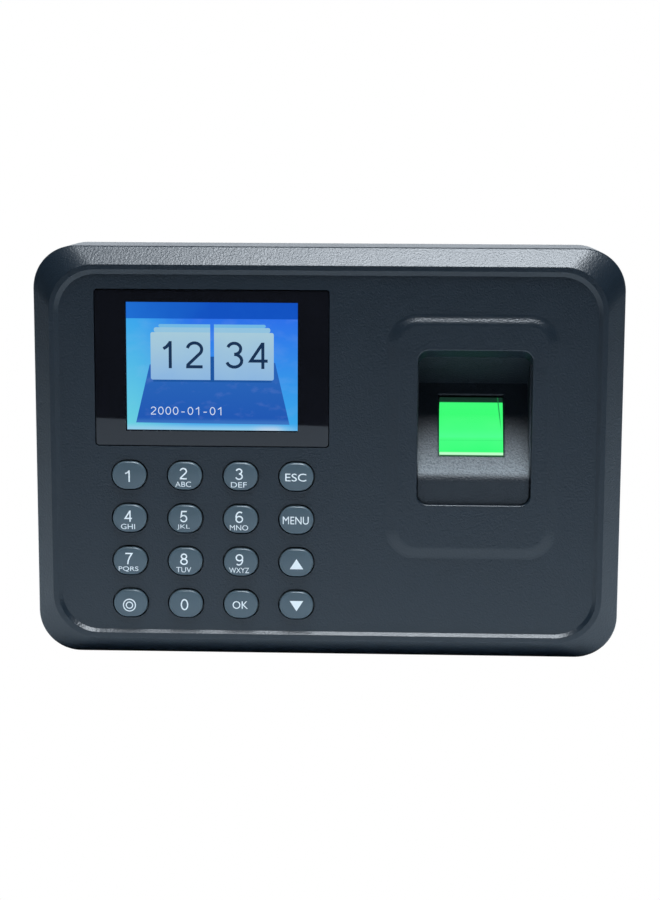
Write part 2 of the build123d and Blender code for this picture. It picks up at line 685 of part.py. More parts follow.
cell_back = BOARD_BACK - 1.0 - CELL_THICK
with BuildPart() as cell_holder:
    rod(CELL_CENTRE, CELL_RADIUS + 1.6, cell_back, BOARD_BACK)
    rod(CELL_CENTRE, CELL_RADIUS + FIT_GAP, cell_back, cell_back + CELL_THICK, Mode.SUBTRACT)
    cell_x, cell_z = CELL_CENTRE
    slab((cell_x + CELL_RADIUS, cell_z), (7, 9), cell_back, cell_back + CELL_THICK, mode=Mode.SUBTRACT)
finish(cell_holder, "cell_holder")

with BuildPart() as coin_cell:
    rod(CELL_CENTRE, CELL_RADIUS, cell_back, cell_back + CELL_THICK)
    chamfer(coin_cell.edges().group_by(Axis.Y)[-1], length=0.4)
finish(coin_cell, "coin_cell")

# ---------------------------------------------------------------- sockets
with BuildPart() as usb_shell:
    with BuildSketch(Plane.XY.offset(USB_MOUTH)) as usb_wall:
        with Locations((USB_X, -usb_height)):
            RectangleRounded(*USB_SIZE, 0.6)
            RectangleRounded(*inset(USB_SIZE, USB_SHEET), 0.35, mode=Mode.SUBTRACT)
    extrude(usb_wall.sketch, amount=USB_LENGTH)
    with BuildSketch(Plane.XY.offset(USB_MOUTH + USB_LENGTH - USB_SHEET)) as usb_end:
        with Locations((USB_X, -usb_height)):
            RectangleRounded(*USB_SIZE, 0.6)
    extrude(usb_end.sketch, amount=USB_SHEET)
finish(usb_shell, "usb_shell")

with BuildPart() as usb_tongue:
    with BuildSketch(Plane.XY.offset(USB_MOUTH + 1.5)) as tongue:
        with Locations((USB_X, -usb_height - 0.9)):
            Rectangle(11.2, 1.8)
    extrude(tongue.sketch, amount=USB_LENGTH - 1.5 - 3.0)
    with BuildSketch(Plane.XY.offset(USB_MOUTH + USB_LENGTH - 3.0)) as tongue_base:
        with Locations((USB_X, -usb_height)):
            Rectangle(12.3, 4.9)
    extrude(tongue_base.sketch, amount=3.0 - USB_SHEET - 0.05)
finish(usb_tongue, "usb_tongue")

with BuildPart() as jack_body:
    with BuildSketch(Plane.XY.offset(JACK_MOUTH)) as jack_block:
        with Locations((JACK_X, -jack_height)):
            Rectangle(*JACK_SIZE)
    extrude(jack_block.sketch, amount=JACK_LENGTH)
    with BuildSketch(Plane.XY.offset(JACK_MOUTH)) as jack_hole:
        with Locations((JACK_X, -jack_height)):
            Circle(JACK_BORE)
    extrude(jack_hole.sketch, amount=JACK_LENGTH - 3, mode=Mode.SUBTRACT)
finish(jack_body, "jack_body")

with BuildPart() as jack_pin:
    with BuildSketch(Plane.XY.offset(JACK_MOUTH + 1)) as pin:
        with Locations((JACK_X, -jack_height)):
            Circle(JACK_PIN)
    extrude(pin.sketch, amount=JACK_LENGTH - 4)
    fillet(jack_pin.edges().group_by(Axis.Z)[0], radius=0.5)
finish(jack_pin, "jack_pin")

# ---------------------------------------------------------------- loudspeaker
gasket_top = FLOOR + 0.5
with BuildPart() as speaker_gasket:
    rod(SPEAKER_CENTRE, SPEAKER_RADIUS, FLOOR, gasket_top)
    rod(SPEAKER_CENTRE, SPEAKER_RADIUS - 2, FLOOR, gasket_top, Mode.SUBTRACT)
finish(speaker_gasket, "speaker_gasket")

with BuildPart() as speaker_frame:
    rod(SPEAKER_CENTRE, SPEAKER_RADIUS, gasket_top, gasket_top + 3.5)
    rod(SPEAKER_CENTRE, SPEAKER_RADIUS - 1, gasket_top, gasket_top + 2.8, Mode.SUBTRACT)
    fillet(speaker_frame.edges().group_by(Axis.Y)[0], radius=0.4)
finish(speaker_frame, "speaker_frame")

with BuildPart() as speaker_cone:
    with BuildSketch(Plane.XY.offset(speaker_z)):
        with BuildLine():
            Polyline(
                (speaker_x + SPEAKER_RADIUS - 1.2, -gasket_top - 0.3),
                (speaker_x + 5, -gasket_top - 2.3),
                (speaker_x, -gasket_top - 1.6),
                (speaker_x, -gasket_top - 1.9),
                (speaker_x + 5, -gasket_top - 2.6),
                (speaker_x + SPEAKER_RADIUS - 1.2, -gasket_top - 0.6),
                close=True,
            )
        make_face()
    revolve(axis=Axis((speaker_x, 0, speaker_z), (0, 1, 0)))
finish(speaker_cone, "speaker_cone")

with BuildPart() as speaker_magnet:
    rod(SPEAKER_CENTRE, SPEAKER_RADIUS / 2, gasket_top + 3.5, gasket_top + 6.5)
    chamfer(speaker_magnet.edges().group_by(Axis.Y)[0], length=0.4)
finish(speaker_magnet, "speaker_magnet")

# ---------------------------------------------------------------- case screws and label
with BuildPart() as case_screws:
    for centre in case_posts:
        screw(centre, CASE_SCREW, CASE_HEAD, 1.8, CASE_WELL_DEPTH, EDGE_HEIGHT - 1)
finish(case_screws, "case_screws")

with BuildPart() as rating_label:
    slab(LABEL_CENTRE, LABEL_SIZE, LABEL_POCKET - LABEL_THICK, LABEL_POCKET, 1.0)
finish(rating_label, "rating_label")
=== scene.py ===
"""The looks of a wall-mounted fingerprint terminal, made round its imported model.

Metres. +Z is up, +X is to the right of someone who faces the terminal, and the front looks along -Y.
A height h above the wall is Y = -h.
"""

import json
from math import cos, pi, radians, sin

import bmesh
import bpy
from mathutils import Matrix, Vector


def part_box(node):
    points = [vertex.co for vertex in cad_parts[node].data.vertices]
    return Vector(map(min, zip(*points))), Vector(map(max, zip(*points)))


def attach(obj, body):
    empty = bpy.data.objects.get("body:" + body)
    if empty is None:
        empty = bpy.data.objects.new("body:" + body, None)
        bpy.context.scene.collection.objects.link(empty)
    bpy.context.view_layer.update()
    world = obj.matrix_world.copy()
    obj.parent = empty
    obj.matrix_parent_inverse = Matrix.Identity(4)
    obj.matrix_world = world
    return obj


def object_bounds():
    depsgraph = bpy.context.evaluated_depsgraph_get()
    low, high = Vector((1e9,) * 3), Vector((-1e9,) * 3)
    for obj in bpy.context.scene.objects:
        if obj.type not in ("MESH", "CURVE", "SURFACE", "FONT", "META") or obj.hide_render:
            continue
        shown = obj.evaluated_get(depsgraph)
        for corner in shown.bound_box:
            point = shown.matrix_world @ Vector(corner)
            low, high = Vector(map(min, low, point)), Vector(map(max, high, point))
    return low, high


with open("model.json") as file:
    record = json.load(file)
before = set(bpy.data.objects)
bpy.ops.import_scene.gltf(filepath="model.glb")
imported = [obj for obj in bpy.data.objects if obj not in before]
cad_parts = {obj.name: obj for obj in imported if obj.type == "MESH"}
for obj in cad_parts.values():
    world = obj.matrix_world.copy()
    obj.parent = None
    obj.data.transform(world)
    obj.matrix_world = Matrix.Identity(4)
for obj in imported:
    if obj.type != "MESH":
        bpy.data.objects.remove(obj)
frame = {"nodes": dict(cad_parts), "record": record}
cad_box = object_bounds()

MM = 0.001
CASE_BODY = "terminal"

# Camera: where it looks, from which side, and how far away it stands
CAMERA_AIM = Vector((0.00093, -0.0285, 0.00176))
CAMERA_AZIMUTH = radians(2.16)
CAMERA_RISE = radians(8.97)
CAMERA_ROLL = radians(0.24)
CAMERA_DISTANCE = 0.549
CAMERA_LENS = 77.24
CAMERA_SENSOR = 36.0

# Studio: a pale table with a painted pool of light near the terminal, a pale band low behind, darkness
# elsewhere, and one large soft light overhead
TABLE_FRONT = 0.49
TABLE_SLANT = 0.188
TABLE_HALF = 1.4
TABLE_NEAR = (0.68, 0.765, 0.83)
TABLE_FAR = (0.56, 0.63, 0.70)
LIGHT_HEIGHT = 0.86
LIGHT_LEFT = -0.12
LIGHT_RIGHT = 0.31
LIGHT_FRONT = -0.53
LIGHT_REAR = 0.05
# Watts per square metre and steradian
LIGHT_RADIANCE = 22.5
LIGHT_COLOUR = (0.93, 1.0, 1.07)
ROOM_DARK = (0.028, 0.03, 0.032)
ROOM_PALE = (1.45, 1.58, 1.72)
TABLE_DROP = 0.0002
TABLE_FADE = (-0.2, -0.02)
TABLE_UNEVEN = 0.03
TABLE_PATCH = 0.05

# Sensor glass: its middle, its tilt, and how much of its light goes aside
GLASS_CENTRE = Vector((0.0412, -0.0194, 0.00765))
GLASS_TILT = radians(31.8)
GLASS_SIZE = 0.0182
GLASS_ASIDE = 0.15

# Height of the front cover's face above the wall
FACE_HEIGHT = 0.0285

# The cases' plastic, as linear colours, and the size of its grain
FRONT_COLOUR = (0.0063, 0.0122, 0.0190)
BACK_COLOUR = (0.012, 0.0155, 0.0205)
GUIDE_COLOUR = (0.006, 0.0105, 0.016)
CASE_GRAIN = 0.55 * MM
BROAD_PATCH = 9.0 * MM
# How far the pale edges reach: edge wear, and on the keys also a painted highlight
EDGE_PALE_WIDTH = 0.25 * MM

# Keys: the colour of their rubber, and the painted shade below the face, nearly black, for the shadow in
# the gap round each key
KEY_COLOUR = (0.060, 0.088, 0.106)
KEY_GAP_SHADE = (0.006, 0.008, 0.011)

# Finger guide: how far the painted highlight reaches down the ramp from the middle of the glass, and its
# colour
GUIDE_NOSE = 0.0147
GUIDE_PAINTED_HIGHLIGHT = (0.15, 0.172, 0.185)

# Display picture: its place and size, and the step between its layers
PICTURE_CENTRE = (-0.0328, 0.0251)
PICTURE_SIZE = (0.04896, 0.03672)
LAYER = 0.00003
CARD_CORNER = 0.55 * MM
GLOW_PATCH = 6.0 * MM
# A neutral time and date. Each digit has its left and right ends as fractions of the picture's width.
PLACEHOLDER_TIME = (("1", 0.205, 0.281), ("2", 0.344, 0.451), ("3", 0.577, 0.684), ("4", 0.714, 0.824))
PLACEHOLDER_DATE = "2000-01-01"

# Key crowns are parts of a sphere, and the print on them is a thin closed skin, partly sunk in
CROWN_RADIUS = 0.030
PRINT_LIFT = 0.00003
PRINT_SINK = 0.00004
PRINT_FINEST = 0.6 * MM

# Key legends: the sizes and places of the marks on a key
DIGIT_TALL = 3.35 * MM
DIGIT_WIDE = 2.35 * MM
LETTERS_TALL = 1.55 * MM
WORD_TALL = 2.25 * MM
LONE_DIGIT_PLACE = (-0.3 * MM, -0.15 * MM)
DIGIT_PLACE = (-0.35 * MM, 0.75 * MM)
LETTERS_PLACE = (-0.45 * MM, -2.35 * MM)
WORD_PLACE = (-0.15 * MM, -0.05 * MM)
UP_PLACE = (0.1 * MM, -0.3 * MM)
DOWN_PLACE = (0.1 * MM, -0.15 * MM)
RING_PLACE = (-0.3 * MM, -0.5 * MM)
TRIANGLE_HALF = 1.95 * MM
TRIANGLE_TALL = 3.0 * MM
RING_OUTER = 1.9 * MM
RING_INNER = 1.08 * MM
RING_STROKE = 0.31 * MM
# The letters under each digit, and how wide they are set
DIGIT_KEYS = {
    "key_1": ("", 0.0),
    "key_2": ("ABC", 4.55 * MM),
    "key_3": ("DEF", 4.55 * MM),
    "key_4": ("GHI", 4.05 * MM),
    "key_5": ("JKL", 3.7 * MM),
    "key_6": ("MNO", 5.25 * MM),
    "key_7": ("PQRS", 5.7 * MM),
    "key_8": ("TUV", 4.35 * MM),
    "key_9": ("WXYZ", 5.75 * MM),
    "key_0": ("", 0.0),
}
WORD_KEYS = {"key_escape": ("ESC", 6.0 * MM), "key_menu": ("MENU", 7.4 * MM), "key_ok": ("OK", 4.4 * MM)}

# Digits are drawn in a box this wide and 1 tall, and follow each other at this step
DIGIT_BOX = 0.58
DIGIT_STEP = 0.70
DIGIT_STROKE = 0.115
DATE_STROKE = 0.10

# Flat shapes are first made this thick, and lay() sets their real thickness
ROUGH_THICK = 0.1
# A closed oval: its first and last angle in degrees, and its steps
CLOSED = (0, 345, 23)
# Vertices closer than this are one, and edges that rise less than this lie flat
SAME_POINT = 1e-7
FLAT_RISE = 1e-6
REFINE_ROUNDS = 5


# ------------------------------------------------------------------ camera
def make_camera():
    """A camera at the front, a little to the right and above."""
    away = Vector(
        (
            sin(CAMERA_AZIMUTH) * cos(CAMERA_RISE),
            -cos(CAMERA_AZIMUTH) * cos(CAMERA_RISE),
            sin(CAMERA_RISE),
        )
    )
    level = Vector((cos(CAMERA_AZIMUTH), sin(CAMERA_AZIMUTH), 0.0))
    upright = away.cross(level)
    across = cos(CAMERA_ROLL) * level + sin(CAMERA_ROLL) * upright
    up = cos(CAMERA_ROLL) * upright - sin(CAMERA_ROLL) * level
    data = bpy.data.cameras.new("camera")
    data.lens = CAMERA_LENS
    data.sensor_width = CAMERA_SENSOR
    data.clip_start = 0.01
    camera = bpy.data.objects.new("camera", data)
    pose = Matrix((across, up, away)).transposed().to_4x4()
    pose.translation = CAMERA_AIM + away * CAMERA_DISTANCE
    camera.matrix_world = pose
    bpy.context.scene.collection.objects.link(camera)
    bpy.context.scene.camera = camera


# ------------------------------------------------------------------ node helpers
def new_tree(name):
    """A new material and its node tree, emptied of all but the output."""
    material = bpy.data.materials.new(name)
    material.use_nodes = True
    tree = material.node_tree
    tree.nodes.clear()
    return material, tree


def put(tree, kind, inputs=None, **settings):
    """Add a node, set its properties, and set or link its inputs."""
    made = tree.nodes.new(kind)
    for name, value in settings.items():
        setattr(made, name, value)
    for socket, value in (inputs or {}).items():
        if isinstance(value, bpy.types.NodeSocket):
            tree.links.new(value, made.inputs[socket])
        else:
            made.inputs[socket].default_value = value
    return made


def where(tree):
    """The place of a point, in metres."""
    return put(tree, "ShaderNodeTexCoord").outputs["Object"]


def noise(tree, size, detail=3.0, stretch=(1.0, 1.0, 1.0)):
    """Noise from 0 to 1 whose blotches are about this many metres across."""
    scaled = put(tree, "ShaderNodeVectorMath", {0: where(tree), 1: stretch}, operation="MULTIPLY")
    made = put(
        tree,
        "ShaderNodeTexNoise",
        {"Vector": scaled.outputs[0], "Scale": 1.0 / size, "Detail": detail, "Roughness": 0.55},
    )
    return made.outputs["Fac"]


def spread(tree, value, low, high, start=0.3, end=0.7, smooth=False):
    """Stretch a value that runs from start to end, to run from low to high."""
    made = put(
        tree,
        "ShaderNodeMapRange",
        {"Value": value, "From Min": start, "From Max": end, "To Min": low, "To Max": high},
        interpolation_type="SMOOTHSTEP" if smooth else "LINEAR",
    )
    return made.outputs["Result"]


def blend(tree, factor, first, second):
    """A colour between two, each a linear (r, g, b) or a socket."""
    made = put(tree, "ShaderNodeMix", {"Factor": factor}, data_type="RGBA")
    for socket, colour in ((6, first), (7, second)):
        if isinstance(colour, bpy.types.NodeSocket):
            tree.links.new(colour, made.inputs[socket])
        else:
            made.inputs[socket].default_value = (*colour, 1.0)
    return made.outputs[2]


def calculate(tree, operation, first, second=0.0, third=0.0):
    """One step of arithmetic."""
    inputs = {0: first, 1: second, 2: third}
    return put(tree, "ShaderNodeMath", inputs, operation=operation).outputs[0]


def axis_of(tree, direction, origin=(0.0, 0.0, 0.0)):
    """How far a point lies from an origin along a direction."""
    moved = put(tree, "ShaderNodeVectorMath", {0: where(tree), 1: origin}, operation="SUBTRACT")
    made = put(tree, "ShaderNodeVectorMath", {0: moved.outputs[0], 1: direction}, operation="DOT_PRODUCT")
    return made.outputs["Value"]


def step_at(tree, value, edge, soft):
    """0 below an edge and 1 above it, with a soft change between."""
    return spread(tree, value, 0.0, 1.0, edge - soft / 2, edge + soft / 2, smooth=True)


def inside(tree, value, low, high, soft):
    """1 between two edges and 0 outside them."""
    rising = step_at(tree, value, low, soft)
    falling = step_at(tree, value, high, soft)
    return calculate(tree, "SUBTRACT", rising, falling)


def bumps(tree, height, depth):
    """A normal for bumps of this depth in metres."""
    inputs = {"Height": height, "Distance": depth, "Strength": 1.0}
    return put(tree, "ShaderNodeBump", inputs).outputs["Normal"]


def edge_closeness(tree, width):
    """1 on outer edges within about this distance, and 0 on flat faces."""
    rounded = put(tree, "ShaderNodeBevel", {"Radius": width}, samples=4).outputs["Normal"]
    flat = put(tree, "ShaderNodeNewGeometry").outputs["Normal"]
    along = put(tree, "ShaderNodeVectorMath", {0: rounded, 1: flat}, operation="DOT_PRODUCT")
    return spread(tree, along.outputs["Value"], 1.0, 0.0, 0.8, 0.995)


def shaded(tree, **inputs):
    """A principled shader joined to the output. An input's name has _ for each space."""
    named = {}
    for name, value in inputs.items():
        if isinstance(value, tuple) and len(value) == 3:
            value = (*value, 1.0)
        named[name.replace("_", " ")] = value
    shader = put(tree, "ShaderNodeBsdfPrincipled", named)
    put(tree, "ShaderNodeOutputMaterial", {"Surface": shader.outputs[0]})


# ------------------------------------------------------------------ materials
def mottled(tree, fine, broad, colour, varied):
    """A colour that varies a little with the grain and more with the broad patches."""
    mixed = calculate(tree, "MULTIPLY_ADD", fine, 0.35, calculate(tree, "MULTIPLY", broad, 0.65))
    dark = tuple(value * (1.0 - varied) for value in colour)
    pale = tuple(value * (1.0 + varied) for value in colour)
    return blend(tree, spread(tree, mixed, 0.0, 1.0, 0.2, 0.8), dark, pale)


def wear_and_highlight_edges(tree, tint, broad, colour, amount):
    """The tint turned paler along outer edges, more in some patches than in others: wear on the cases, and
    on the keys also a painted highlight along their rims.
    """
    # The pale edge colour: wear, and on the keys also a painted highlight along their rims.
    worn = tuple(value * 1.8 + 0.01 for value in colour)
    patchy = spread(tree, broad, 0.3 * amount, amount)
    return blend(tree, calculate(tree, "MULTIPLY", edge_closeness(tree, EDGE_PALE_WIDTH), patchy), tint, worn)


def moulded(
    name,
    colour,
    varied=0.1,
    roughness=(0.36, 0.44),
    grain=0.35 * MM,
    depth=0.004 * MM,
    wear=0.0,
):
    """Moulded plastic or rubber: a fine spark-eroded grain, faint colour patches and paler edges."""
    material, tree = new_tree(name)
    fine = noise(tree, grain, 2.0)
    broad = noise(tree, BROAD_PATCH, 4.0)
    tint = mottled(tree, fine, broad, colour, varied)
    if wear:
        tint = wear_and_highlight_edges(tree, tint, broad, colour, wear)
    shaded(
        tree,
        Base_Color=tint,
        Roughness=spread(tree, broad, *roughness, 0.1, 0.9),
        Normal=bumps(tree, fine, depth),
    )
    return material


def metal(name, colour, roughness=(0.22, 0.4), brushed=(1.0, 1.0, 8.0), depth=0.001 * MM):
    """Plated or drawn metal with fine lines and faint stains."""
    material, tree = new_tree(name)
    lines = noise(tree, 0.4 * MM, 3.0, stretch=brushed)
    stains = noise(tree, 3.0 * MM, 4.0)
    dull = tuple(value * 0.75 for value in colour)
    shaded(
        tree,
        Base_Color=blend(tree, spread(tree, stains, 0.0, 0.6), colour, dull),
        Metallic=1.0,
        Roughness=spread(tree, lines, *roughness),
        Normal=bumps(tree, lines, depth),
    )
    return material


def case_plastic():
    """Front cover: dark blue-grey with a fine, deep grain and slightly worn edges."""
    return moulded("case_plastic", FRONT_COLOUR, 0.10, (0.34, 0.39), CASE_GRAIN, 0.10 * MM, wear=0.5)


def back_plastic():
    """Back cover: a little paler than the front cover, with a shallower grain."""
    return moulded("back_plastic", BACK_COLOUR, 0.14, (0.32, 0.38), CASE_GRAIN, 0.05 * MM, wear=0.6)


def guide_plastic():
    """Finger guide: nearly black with a strong grain, and a painted highlight that turns it pale down the
    ramp towards the nose.
    """
    material, tree = new_tree("guide_plastic")
    fine = noise(tree, CASE_GRAIN, 2.0)
    broad = noise(tree, BROAD_PATCH, 4.0)
    down = axis_of(tree, (0.0, -sin(GLASS_TILT), -cos(GLASS_TILT)), GLASS_CENTRE)
    # Painted highlight: paler down the ramp towards the nose, where the overhead light would reflect,
    # ending just past the nose.
    painted_highlight = spread(tree, down, 0.0, 1.0, -1.0 * MM, GUIDE_NOSE)
    end = step_at(tree, down, GUIDE_NOSE + 0.4 * MM, 2.4 * MM)
    painted_highlight = calculate(tree, "MULTIPLY", painted_highlight, calculate(tree, "SUBTRACT", 1.0, end))
    painted_highlight = calculate(tree, "MULTIPLY", painted_highlight, spread(tree, fine, 0.6, 1.4))
    shaded(
        tree,
        Base_Color=blend(tree, painted_highlight, GUIDE_COLOUR, GUIDE_PAINTED_HIGHLIGHT),
        Roughness=spread(tree, broad, 0.5, 0.56, 0.1, 0.9),
        Normal=bumps(tree, fine, 0.22 * MM),
    )
    return material


def key_rubber():
    """Keys: grey-blue silicone rubber with a soft skin, pale edges that are partly wear and partly a
    painted highlight along their rims, and painted shade, nearly black, below the front cover's face.
    """
    material, tree = new_tree("key_rubber")
    fine = noise(tree, 0.3 * MM, 2.0)
    broad = noise(tree, BROAD_PATCH, 4.0)
    # The pale edges are partly wear and partly a painted highlight along the keys' rims.
    tint = wear_and_highlight_edges(tree, mottled(tree, fine, broad, KEY_COLOUR, 0.08), broad, KEY_COLOUR, 0.7)
    # Painted shade: the rubber below the front cover's face turns nearly black, standing in for the shadow
    # in the gap round each key.
    above = step_at(tree, axis_of(tree, (0.0, -1.0, 0.0)), FACE_HEIGHT - 0.25 * MM, 0.3 * MM)
    shaded(
        tree,
        Base_Color=blend(tree, above, KEY_GAP_SHADE, tint),
        Roughness=spread(tree, broad, 0.25, 0.35, 0.1, 0.9),
        Normal=bumps(tree, fine, 0.006 * MM),
    )
    return material


def lens_acrylic():
    """Display window: polished black, clear over the picture."""
    material, tree = new_tree("lens_acrylic")
    half_width = PICTURE_SIZE[0] / 2
    half_height = PICTURE_SIZE[1] / 2
    origin = (PICTURE_CENTRE[0], 0.0, PICTURE_CENTRE[1])
    across = axis_of(tree, (1.0, 0.0, 0.0), origin)
    up = axis_of(tree, (0.0, 0.0, 1.0), origin)
    clear = calculate(
        tree,
        "MULTIPLY",
        inside(tree, across, -half_width, half_width, 0.1 * MM),
        inside(tree, up, -half_height, half_height, 0.1 * MM),
    )
    smear = noise(tree, 12.0 * MM, 4.0)
    black = blend(tree, spread(tree, smear, 0.0, 1.0), (0.0045, 0.0048, 0.007), (0.006, 0.0063, 0.009))
    shaded(
        tree,
        Base_Color=black,
        Roughness=spread(tree, smear, 0.01, 0.03),
        Alpha=spread(tree, clear, 1.0, 0.0, 0.0, 1.0),
        Normal=bumps(tree, noise(tree, 25.0 * MM, 2.0), 0.001 * MM),
    )
    return material


def sensor_green():
    """Sensor glass: lit green, with a painted highlight near its bottom edge, painted shade along its top
    edge, and a wedge at its right.
    """
    material, tree = new_tree("sensor_green")
    half = GLASS_SIZE / 2
    up = axis_of(tree, (0.0, sin(GLASS_TILT), cos(GLASS_TILT)), GLASS_CENTRE)
    across = axis_of(tree, (1.0, 0.0, 0.0), GLASS_CENTRE)
    level = put(tree, "ShaderNodeMapRange", {"Value": up, "From Min": -half, "From Max": half})
    ramp = put(tree, "ShaderNodeValToRGB", {"Fac": level.outputs["Result"]})
    # Near the bottom, a pale band is a painted highlight where the glass's lower edge catches the overhead
    # light; the dark band at the top is painted shade on its upper edge.
    bands = (
        (0.0, (0.01, 0.10, 0.03)),
        (0.015, (0.55, 1.0, 0.62)),
        (0.045, (0.50, 1.0, 0.58)),
        (0.06, (0.04, 0.97, 0.19)),
        (0.28, (0.06, 0.98, 0.22)),
        (0.32, (0.075, 1.0, 0.27)),
        (0.45, (0.06, 0.99, 0.22)),
        (0.7, (0.045, 0.98, 0.18)),
        (0.905, (0.05, 0.98, 0.19)),
        (0.92, (0.006, 0.035, 0.018)),
        (1.0, (0.008, 0.024, 0.018)),
    )
    elements = ramp.color_ramp.elements
    while len(elements) < len(bands):
        elements.new(0.5)
    for element, (place, colour) in zip(elements, bands):
        element.position = place
        element.color = (*colour, 1.0)
    # The wedge: a dark line that leans away from the right edge towards the top
    lean = calculate(tree, "MULTIPLY_ADD", up, 0.09, across)
    line = inside(tree, lean, half - 0.75 * MM, half - 0.5 * MM, 0.25 * MM)
    upper = step_at(tree, up, 1.0 * MM, 8.0 * MM)
    tint = blend(tree, calculate(tree, "MULTIPLY", line, upper), ramp.outputs["Color"], (0.01, 0.2, 0.05))
    faint = inside(tree, up, -4.5 * MM, -4.3 * MM, 0.2 * MM)
    tint = blend(tree, calculate(tree, "MULTIPLY", faint, 0.35), tint, (0.02, 0.7, 0.12))
    shaded(
        tree,
        Base_Color=(0.0, 0.02, 0.004),
        Roughness=spread(tree, noise(tree, 6.0 * MM), 0.04, 0.1),
        Emission_Color=tint,
        Emission_Strength=straight_out(tree),
    )
    return material


def straight_out(tree):
    """Full strength seen directly, and less on what is lit from aside: the prism shines straight out."""
    path = put(tree, "ShaderNodeLightPath")
    loss = GLASS_ASIDE - 1.0
    aside = calculate(tree, "MULTIPLY_ADD", path.outputs["Is Glossy Ray"], loss, 1.0)
    return calculate(tree, "MULTIPLY_ADD", path.outputs["Is Diffuse Ray"], loss, aside)


def lit(name, first, second, direction=(0.0, 0.0, 1.0), span=None):
    """A lit layer of the picture that turns from one colour to another, with a little unevenness."""
    material, tree = new_tree(name)
    uneven = spread(tree, noise(tree, GLOW_PATCH), -0.08, 0.08)
    if span:
        run = spread(tree, axis_of(tree, direction), 0.0, 1.0, *span)
        factor = calculate(tree, "ADD", run, uneven)
    else:
        factor = calculate(tree, "ADD", 0.5, calculate(tree, "MULTIPLY", uneven, 4.0))
    put_glow(tree, blend(tree, factor, first, second))
    return material


def put_glow(tree, colour):
    """A surface that only shines."""
    shaded(
        tree,
        Base_Color=(0.0, 0.0, 0.0),
        Roughness=0.5,
        Specular_IOR_Level=0.0,
        Emission_Color=colour,
        Emission_Strength=1.0,
    )


def sky_glow():
    """The picture's background: turquoise at the left, blue at the right, pale along the bottom."""
    material, tree = new_tree("sky_glow")
    origin = (PICTURE_CENTRE[0], 0.0, PICTURE_CENTRE[1])
    across = spread(
        tree,
        axis_of(tree, (1.0, 0.0, 0.0), origin),
        0.0,
        1.0,
        -PICTURE_SIZE[0] / 2,
        PICTURE_SIZE[0] / 2,
    )
    up = spread(
        tree,
        axis_of(tree, (0.0, 0.0, 1.0), origin),
        0.0,
        1.0,
        -PICTURE_SIZE[1] / 2,
        PICTURE_SIZE[1] / 2,
    )
    left_side = blend(tree, up, (0.146, 0.637, 0.74), (0.03, 0.347, 0.85))
    right_side = blend(tree, up, (0.046, 0.40, 0.825), (0.024, 0.13, 0.81))
    across_shaped = spread(tree, across, 0.0, 1.0, 0.0, 0.42, smooth=True)
    colour = blend(tree, across_shaped, left_side, right_side)
    low = spread(tree, up, 1.0, 0.0, 0.0, 0.06, smooth=True)
    streak = inside(tree, across, 0.76, 0.90, 0.1)
    pale = blend(tree, streak, (0.31, 0.62, 0.84), (0.52, 0.68, 0.83))
    low = calculate(tree, "MULTIPLY", low, spread(tree, across, 0.95, 0.25, 0.88, 1.0))
    colour = blend(tree, low, colour, pale)
    cloud = spread(tree, noise(tree, 7.0 * MM, 4.0, stretch=(1.0, 1.0, 1.8)), 0.0, 0.07, 0.5, 0.75)
    put_glow(tree, blend(tree, cloud, colour, (0.45, 0.62, 0.88)))
    return material


def stand_glow():
    """The dark reflection under the cards, with faint clouds in it."""
    material, tree = new_tree("stand_glow")
    origin = (PICTURE_CENTRE[0], 0.0, PICTURE_CENTRE[1])
    up = spread(
        tree,
        axis_of(tree, (0.0, 0.0, 1.0), origin),
        0.0,
        1.0,
        -PICTURE_SIZE[1] / 2 + 2.0 * MM,
        -PICTURE_SIZE[1] / 2 + 14.0 * MM,
    )
    colour = blend(tree, up, (0.015, 0.095, 0.45), (0.022, 0.125, 0.475))
    low = spread(tree, up, 0.55, 0.0, 0.0, 0.14, smooth=True)
    colour = blend(tree, low, colour, (0.07, 0.24, 0.60))
    cloud = spread(tree, noise(tree, 5.0 * MM, 4.0, stretch=(1.0, 1.0, 2.0)), 0.0, 0.22, 0.55, 0.75)
    put_glow(tree, blend(tree, cloud, colour, (0.20, 0.28, 0.68)))
    return material


def circuit_green():
    """Circuit board: green resist with copper tracks that show faintly."""
    material, tree = new_tree("circuit_green")
    tracks = put(
        tree,
        "ShaderNodeTexBrick",
        {
            "Vector": where(tree),
            "Scale": 1.0,
            "Mortar Size": 0.0004,
            "Brick Width": 0.009,
            "Row Height": 0.003,
            "Color1": (0.006, 0.075, 0.028, 1.0),
            "Color2": (0.008, 0.095, 0.035, 1.0),
            "Mortar": (0.016, 0.16, 0.06, 1.0),
        },
    )
    broad = noise(tree, 8.0 * MM)
    shaded(
        tree,
        Base_Color=blend(tree, spread(tree, broad, 0.0, 0.3), tracks.outputs["Color"], (0.01, 0.06, 0.03)),
        Roughness=spread(tree, broad, 0.25, 0.4),
        Normal=bumps(tree, tracks.outputs["Fac"], 0.03 * MM),
    )
    return material


def coated_glass():
    """Display panel and small lenses: smooth glass with a faint coating."""
    material, tree = new_tree("coated_glass")
    film = noise(tree, 10.0 * MM)
    shaded(
        tree,
        Base_Color=blend(tree, spread(tree, film, 0.0, 1.0), (0.02, 0.03, 0.05), (0.03, 0.04, 0.065)),
        Roughness=spread(tree, film, 0.05, 0.14),
        Coat_Weight=0.5,
        Normal=bumps(tree, film, 0.001 * MM),
    )
    return material


def label_film():
    """Blank rating label: brushed silver film."""
    material, tree = new_tree("label_film")
    lines = noise(tree, 0.6 * MM, 3.0, stretch=(0.05, 1.0, 1.0))
    shaded(
        tree,
        Base_Color=blend(tree, spread(tree, lines, 0.0, 1.0), (0.46, 0.47, 0.48), (0.58, 0.59, 0.60)),
        Metallic=0.35,
        Roughness=spread(tree, lines, 0.34, 0.46),
        Normal=bumps(tree, lines, 0.002 * MM),
    )
    return material


def legend_print():
    """Key legends: pale grey ink, slightly worn."""
    return moulded("legend_print", (0.78, 0.81, 0.81), 0.08, (0.45, 0.6), 0.2 * MM, 0.001 * MM)


